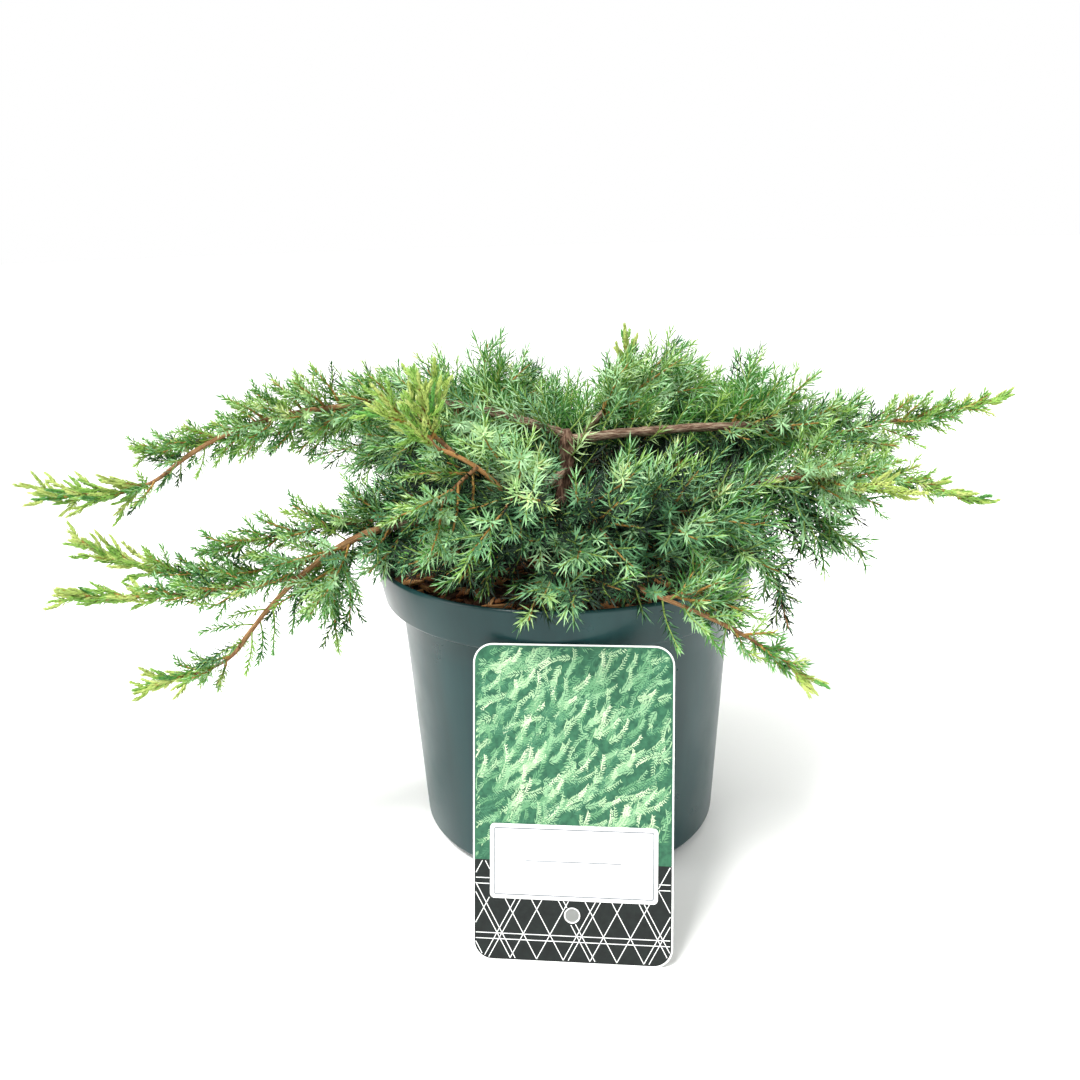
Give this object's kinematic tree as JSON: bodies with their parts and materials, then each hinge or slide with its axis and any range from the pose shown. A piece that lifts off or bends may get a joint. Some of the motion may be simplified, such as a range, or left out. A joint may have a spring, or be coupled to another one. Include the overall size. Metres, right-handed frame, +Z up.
{
  "type": "potted common juniper",
  "caption": "Low, spreading evergreen shrub with needle foliage on arching boughs, growing in a round dark plastic nursery pot with a plant card leaning on it.",
  "frame": {"origin": "middle of the flat underside of the pot", "axes": "+Z up, +X to the viewer's right along the plant's widest spread, -Y towards the viewer and the plant card"},
  "size_m": [0.4826, 0.3226, 0.2459],
  "materials": {
    "pot_plastic": "dark green-black moulded plastic, satin",
    "bark_soil": "dark potting compost with bark chips",
    "card_plastic": "printed plastic card, satin",
    "old_bark": "rough grey-brown bark",
    "young_bark": "smoother orange-brown bark",
    "needles": "blue-green needles",
    "fresh_needles": "yellow-green young needles"
  },
  "bodies": {
    "root": {"pot": "pot_plastic", "soil": "bark_soil", "plant_card": "card_plastic", "trunk": "old_bark", "bough_right_long": "old_bark", "bough_left_high_inner": "old_bark", "bough_left_high_outer": "young_bark", "bough_left_low_inner": "old_bark", "bough_left_low_outer": "young_bark", "bough_front_left_inner": "old_bark", "bough_front_left_outer": "young_bark", "bough_front_middle": "old_bark", "bough_front_right_inner": "old_bark", "bough_front_right_outer": "young_bark", "bough_right_low": "old_bark", "bough_top_left": "old_bark", "bough_top_right": "old_bark", "bough_back_right": "old_bark", "bough_back_middle": "old_bark", "bough_back_left": "old_bark", "foliage_left_high_tip": "needles", "foliage_left_high_upper": "needles", "foliage_left_high_shoulder": "needles", "foliage_left_low_tip": "needles", "foliage_left_low_upper": "needles", "foliage_left_low_middle": "needles", "foliage_left_low_hanging": "needles", "foliage_left_low_shoulder": "needles", "foliage_left_inside": "needles", "foliage_front_left_bright": "fresh_needles", "foliage_front_left_bright_side": "fresh_needles", "foliage_front_left_hanging": "needles", "foliage_front_rim_left": "needles", "foliage_front_rim_middle": "needles", "foliage_front_high_left": "needles", "foliage_front_centre": "needles", "foliage_front_right_high": "needles", "foliage_front_right_side": "needles", "foliage_front_right_tip": "needles", "foliage_front_right_rim": "needles", "foliage_right_tip": "needles", "foliage_right_upper": "needles", "foliage_right_top": "needles", "foliage_right_inside": "needles", "foliage_right_low_tip": "needles", "foliage_right_bright": "fresh_needles", "foliage_right_hanging": "needles", "foliage_right_hanging_outer": "needles", "foliage_top_left_tip": "needles", "foliage_top_left_side": "needles", "foliage_top_middle": "needles", "foliage_top_right_tip": "needles", "foliage_top_right_front": "needles", "foliage_top_right_side": "needles", "foliage_back_right_tip": "needles", "foliage_back_right_side": "needles", "foliage_back_middle_tip": "needles", "foliage_back_middle_side": "needles", "foliage_back_left_tip": "needles", "foliage_back_left_side": "needles"}
  },
  "joints": []
}
